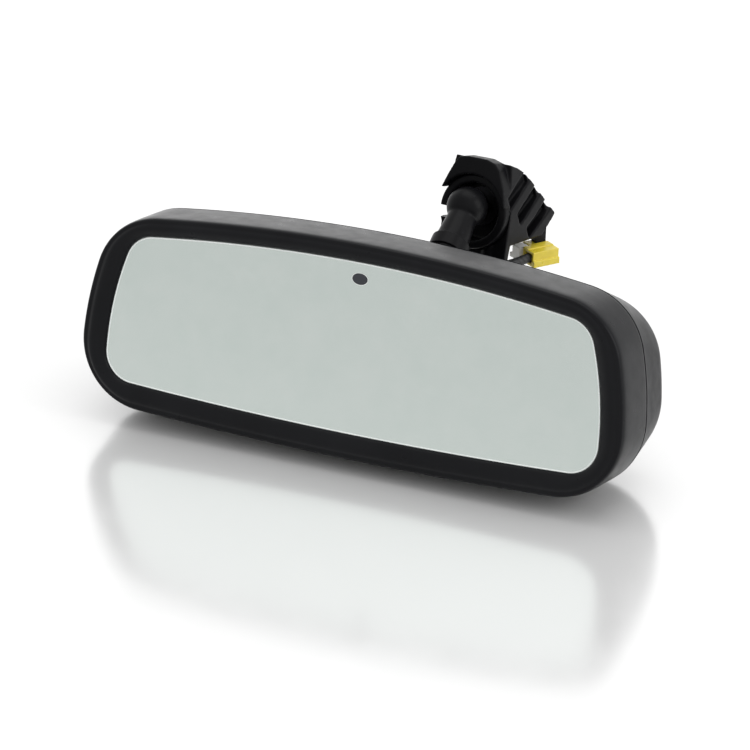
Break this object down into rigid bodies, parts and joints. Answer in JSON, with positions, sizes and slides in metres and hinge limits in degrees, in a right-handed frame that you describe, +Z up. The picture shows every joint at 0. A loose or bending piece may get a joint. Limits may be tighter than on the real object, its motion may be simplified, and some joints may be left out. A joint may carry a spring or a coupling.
{
  "type": "interior rearview mirror",
  "caption": "Interior rearview mirror: auto-dimming glass in a black shell, ball-jointed arm, finned windscreen mount and wiring connector.",
  "frame": {"origin": "on the axis of the windscreen button's bore, at its mouth in the mount's sloping face", "axes": "+X along the mirror's width, to the driver's right when they face the glass; +Y away from the driver; +Z up"},
  "size_m": [0.2523, 0.1673, 0.0979],
  "materials": {
    "front_plastic": "satin black, fine moulded grain",
    "rear_plastic": "satin black, fine moulded grain",
    "mirror_glass": "polished, pale green grey",
    "seal": "matt",
    "gel": "clear",
    "foam": "open cell foam",
    "inner_plastic": "as moulded",
    "plated_clip": "tin and gold plated",
    "board": "solder mask",
    "lens": "smoked clear",
    "chip": "epoxy",
    "aluminium_can": "drawn",
    "white_plastic": "as moulded",
    "zinc_steel": "zinc plated",
    "spring_steel": "oiled",
    "wire": "soft sleeve",
    "nylon": "natural nylon",
    "mount_plastic": "satin black, glass filled",
    "yellow_plastic": "as moulded",
    "rubber": "matt"
  },
  "bodies": {
    "mount": {"mount_bracket": "mount_plastic", "retaining_ring": "mount_plastic", "mount_ball_stud": "spring_steel", "set_screw": "spring_steel", "connector_housing": "yellow_plastic", "connector_terminals": "plated_clip", "connector_clip": "mount_plastic", "harness_sleeve": "wire", "harness_grommet": "rubber"},
    "plug_lock": {"connector_lock": "white_plastic"},
    "upper_cup": {"upper_liner": "nylon"},
    "arm": {"arm_tube": "mount_plastic", "arm_collar": "mount_plastic", "ball_stud": "zinc_steel", "arm_harness": "wire"},
    "lower_cup": {"ball_cup": "nylon"},
    "lower_band": {"cup_band": "spring_steel"},
    "head": {"bezel": "front_plastic", "rear_housing": "rear_plastic", "front_glass": "mirror_glass", "ec_seal": "seal", "ec_gel": "gel", "rear_glass": "mirror_glass", "foam_pad": "foam", "glass_carrier": "inner_plastic", "bus_clip_upper": "plated_clip", "bus_clip_lower": "plated_clip", "circuit_board": "board", "light_pipe": "lens", "glare_sensor": "chip", "control_chip": "chip", "capacitors": "aluminium_can", "ambient_sensor": "chip", "ambient_lens": "lens", "board_header": "white_plastic", "board_plug": "white_plastic", "board_screws": "zinc_steel", "board_spacers": "inner_plastic", "pivot_plate": "zinc_steel", "pivot_screws": "zinc_steel", "head_wires": "wire"}
  },
  "joints": [
    {"name": "upper_yaw", "type": "hinge", "parent": "mount", "child": "upper_cup", "pos_m": [-0.00482, -0.0377, 0.00463], "axis": [0.0115, 0.302, 0.9532], "range_deg": [-12, 12]},
    {"name": "upper_pitch", "type": "hinge", "parent": "upper_cup", "child": "arm", "pos_m": [-0.00482, -0.0377, 0.00463], "axis": [0.992, -0.1236, 0.0272], "range_deg": [-10, 10]},
    {"name": "lower_yaw", "type": "hinge", "parent": "arm", "child": "lower_cup", "pos_m": [-0.01234, -0.10989, -0.03522], "axis": [0, 0.2147, 0.9767], "range_deg": [-12, 12]},
    {"name": "lower_pitch", "type": "hinge", "parent": "lower_cup", "child": "lower_band", "pos_m": [-0.01234, -0.10989, -0.03522], "axis": [1, 0, 0], "range_deg": [-8, 12]},
    {"name": "lower_roll", "type": "hinge", "parent": "lower_band", "child": "head", "pos_m": [-0.01234, -0.10989, -0.03522], "axis": [0, 0.9767, -0.2147], "range_deg": [-7, 7]},
    {"name": "plug_lock_slide", "type": "slide", "parent": "mount", "child": "plug_lock", "axis": [-0.5501, -0.8336, 0.0496], "range_m": [0, 0.0015]}
  ]
}
